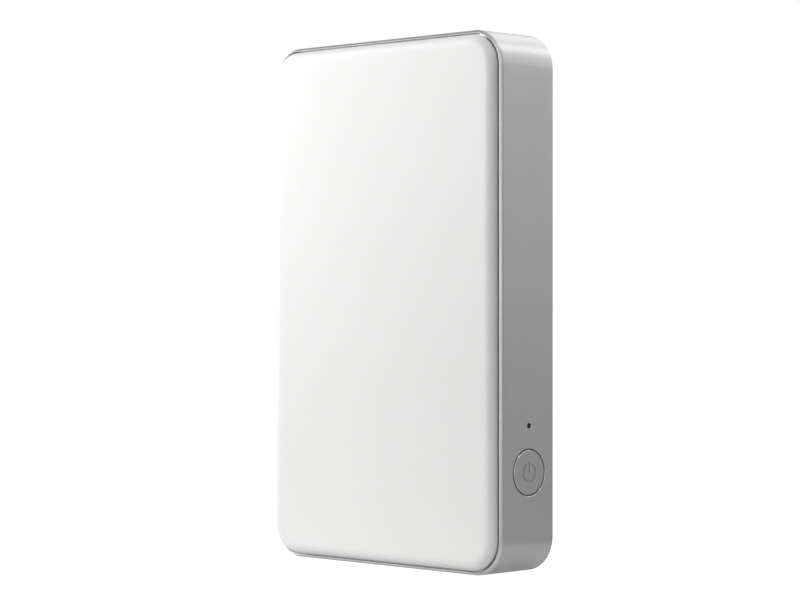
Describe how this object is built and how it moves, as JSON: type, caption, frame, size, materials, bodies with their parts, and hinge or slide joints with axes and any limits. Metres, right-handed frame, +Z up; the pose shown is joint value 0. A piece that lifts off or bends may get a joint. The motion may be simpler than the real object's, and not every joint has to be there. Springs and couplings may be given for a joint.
{
  "type": "compact photo printer",
  "caption": "Pocket photo printer standing upright: white lift-off front cover in an aluminium side frame, side power button, paper bay, roller drive, thermal head and battery.",
  "frame": {"origin": "middle of the bounding box's floor, under the case as it stands on its short end", "axes": "+X to the right seen from the front cover, -Y out of the front cover, +Y out of the back cover, +Z up to the paper exit"},
  "size_m": [0.0754, 0.0222, 0.124],
  "materials": {
    "aluminium_satin": "fine bead-blasted, anodised, bright front chamfer",
    "white_plastic": "fine satin white",
    "black_plastic": "fine spark-eroded texture",
    "screw_steel": "black zinc",
    "rubber_foot": "matte",
    "magnet_nickel": "nickel plated",
    "shaft_steel": "ground",
    "spring_steel": "drawn wire",
    "plate_steel": "rolled",
    "pad_cork": "fine cork",
    "bush_brass": "sintered",
    "heat_sink_aluminium": "milled",
    "ceramic": "glazed",
    "roller_rubber": "ground",
    "gear_plastic": "moulded acetal",
    "motor_steel": "zinc plated can",
    "flat_cable": "amber film",
    "battery_wrap": "shrink film",
    "wire_red": "insulation",
    "board_green": "solder mask",
    "black_component": "moulded",
    "connector_plastic": "moulded",
    "lens_clear": "frosted",
    "lens_smoke": "smoked"
  },
  "bodies": {
    "case": {"side_frame": "aluminium_satin", "back_cover": "white_plastic", "back_cover_screws": "screw_steel", "rubber_feet": "rubber_foot", "chassis": "black_plastic", "paper_tray": "black_plastic", "keeper_magnets": "magnet_nickel", "exit_bezel": "black_plastic", "mechanism_frame": "plate_steel", "roller_bushes": "bush_brass", "gear_posts": "shaft_steel", "mechanism_screws": "screw_steel", "paper_guide": "black_plastic", "exit_guide": "black_plastic", "spring_stay": "plate_steel", "head_springs": "spring_steel", "head_pivot_rod": "shaft_steel", "motor_can": "motor_steel", "motor_screws": "screw_steel", "head_flat_cable": "flat_cable", "paper_sensor": "black_component", "battery_pack": "battery_wrap", "battery_wires": "wire_red", "main_board": "board_green", "board_chips": "black_component", "board_shield": "plate_steel", "board_connectors": "connector_plastic", "board_screws": "screw_steel", "usb_socket": "plate_steel", "charge_lens": "lens_clear", "button_board": "board_green", "power_switch": "black_component", "lamp_lens": "lens_smoke"},
    "cover": {"front_cover": "white_plastic", "cover_liner": "black_plastic", "cover_magnets": "magnet_nickel", "hinge_pin": "shaft_steel", "plate_springs": "spring_steel"},
    "plate": {"pressure_plate": "plate_steel", "pressure_pad": "pad_cork"},
    "button": {"power_button": "aluminium_satin"},
    "head": {"head_heat_sink": "heat_sink_aluminium", "thermal_head": "ceramic"},
    "platen": {"platen_shaft": "shaft_steel", "platen_rubber": "roller_rubber", "platen_gear": "gear_plastic"},
    "feed": {"feed_shaft": "shaft_steel", "feed_rubber": "roller_rubber", "feed_gear": "gear_plastic"},
    "pinch": {"pinch_roller": "shaft_steel"},
    "pickup": {"pickup_shaft": "shaft_steel", "pickup_tyres": "roller_rubber", "pickup_gear": "gear_plastic"},
    "upper_idler": {"upper_idler_gear": "gear_plastic"},
    "lower_idler": {"lower_idler_gear": "gear_plastic"},
    "second_reduction": {"second_reduction_gear": "gear_plastic"},
    "first_reduction": {"first_reduction_gear": "gear_plastic"},
    "rotor": {"motor_shaft": "shaft_steel", "motor_pinion": "bush_brass"}
  },
  "joints": [
    {"name": "cover_lift", "type": "slide", "parent": "case", "child": "cover", "axis": [0, -1, 0], "range_m": [0, 0.03]},
    {"name": "plate_swing", "type": "hinge", "parent": "cover", "child": "plate", "pos_m": [0, -0.00745, 0.0082], "axis": [-1, 0, 0], "range_deg": [0, 3], "stiffness_Nm_per_rad": 1, "springref_deg": 4.01, "deforming": ["plate_springs"]},
    {"name": "button_press", "type": "slide", "parent": "case", "child": "button", "axis": [-1, 0, 0], "range_m": [0, 0.00025], "stiffness_N_per_m": 3000, "springref_m": -0.0002},
    {"name": "head_lift", "type": "hinge", "parent": "case", "child": "head", "pos_m": [0, -0.005, 0.1162], "axis": [-1, 0, 0], "range_deg": [0, 2.5], "stiffness_Nm_per_rad": 1, "springref_deg": -3.44, "deforming": ["head_springs"]},
    {"name": "platen_spin", "type": "hinge", "parent": "case", "child": "platen", "pos_m": [0, 0.001, 0.1051], "axis": [1, 0, 0], "continuous": true},
    {"name": "feed_spin", "type": "hinge", "parent": "case", "child": "feed", "pos_m": [0, 0.0005, 0.0915], "axis": [1, 0, 0], "continuous": true},
    {"name": "pinch_spin", "type": "hinge", "parent": "case", "child": "pinch", "pos_m": [0, -0.00554, 0.0915], "axis": [1, 0, 0], "continuous": true},
    {"name": "pickup_spin", "type": "hinge", "parent": "case", "child": "pickup", "pos_m": [0, 0.00115, 0.078], "axis": [1, 0, 0], "continuous": true},
    {"name": "upper_idler_spin", "type": "hinge", "parent": "case", "child": "upper_idler", "pos_m": [0, 0.00239, 0.09824], "axis": [1, 0, 0], "continuous": true},
    {"name": "lower_idler_spin", "type": "hinge", "parent": "case", "child": "lower_idler", "pos_m": [0, 0.00265, 0.08484], "axis": [1, 0, 0], "continuous": true},
    {"name": "second_reduction_spin", "type": "hinge", "parent": "case", "child": "second_reduction", "pos_m": [0, 0.0002, 0.07106], "axis": [1, 0, 0], "continuous": true},
    {"name": "first_reduction_spin", "type": "hinge", "parent": "case", "child": "first_reduction", "pos_m": [0, 0, 0.06207], "axis": [1, 0, 0], "continuous": true},
    {"name": "rotor_spin", "type": "hinge", "parent": "case", "child": "rotor", "pos_m": [0, 0.0039, 0.0534], "axis": [1, 0, 0], "continuous": true}
  ],
  "couplings": [
    {"joint": "feed_spin", "follows": "platen_spin", "ratio": 1},
    {"joint": "pinch_spin", "follows": "platen_spin", "ratio": -1.4583},
    {"joint": "pickup_spin", "follows": "platen_spin", "ratio": 1},
    {"joint": "upper_idler_spin", "follows": "platen_spin", "ratio": -1.3333},
    {"joint": "lower_idler_spin", "follows": "platen_spin", "ratio": -1.3333},
    {"joint": "second_reduction_spin", "follows": "platen_spin", "ratio": -1.3333},
    {"joint": "first_reduction_spin", "follows": "platen_spin", "ratio": 3.4667},
    {"joint": "rotor_spin", "follows": "platen_spin", "ratio": -9.7067}
  ]
}
